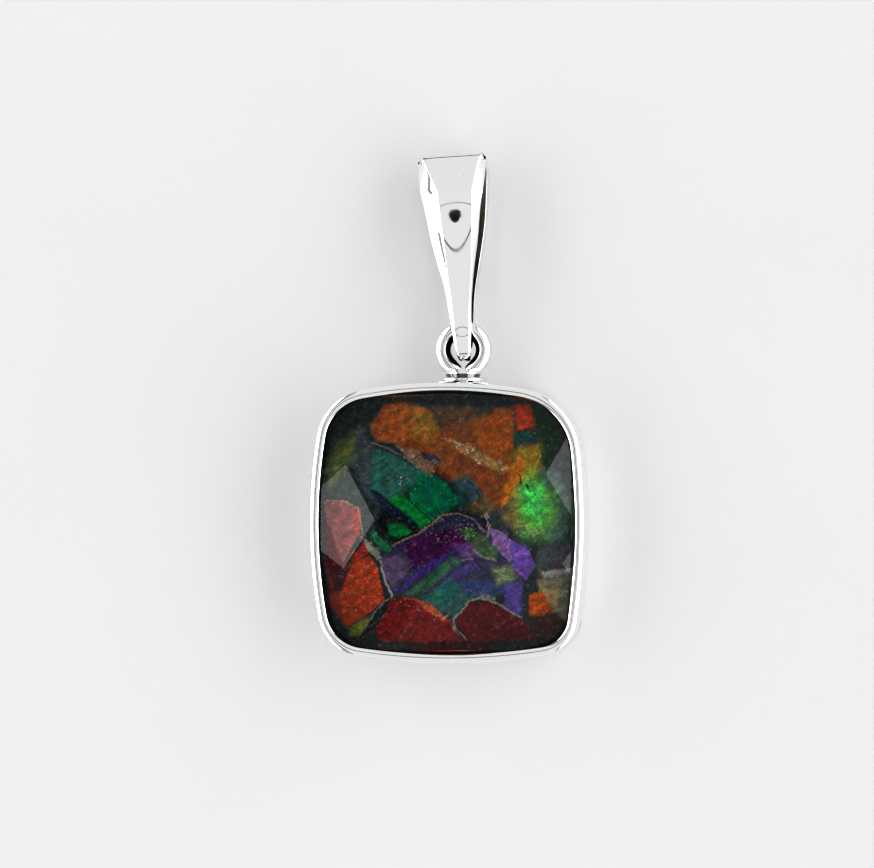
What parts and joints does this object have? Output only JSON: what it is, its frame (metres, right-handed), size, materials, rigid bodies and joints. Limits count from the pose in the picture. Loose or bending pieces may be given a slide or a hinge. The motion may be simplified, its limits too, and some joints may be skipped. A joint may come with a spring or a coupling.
{
  "type": "ammolite pendant",
  "caption": "Silver pendant: a cushion-shaped ammolite slice under a clear faceted cap, in a bezel cup with a hinged, tapered bail for a chain.",
  "frame": {"origin": "middle of the bezel cup's flat back, on the plane the pendant lies on", "axes": "+Z out of the stone's face, +Y towards the bail, +X to the stone's right seen from its face"},
  "size_m": [0.0126, 0.0235, 0.0041],
  "materials": {
    "silver": "polished",
    "ammolite": "polished",
    "crystal": "polished"
  },
  "bodies": {
    "setting": {"bezel_cup": "silver", "ammolite_slice": "ammolite", "crystal_cap": "crystal", "neck_collar": "silver", "hinge_ring": "silver"},
    "bail": {"bail": "silver"}
  },
  "joints": [
    {"name": "bail_swing", "type": "hinge", "parent": "setting", "child": "bail", "pos_m": [0.00066, 0.00889, 0.0018], "axis": [1, 0, 0], "range_deg": [-95, 100]}
  ]
}
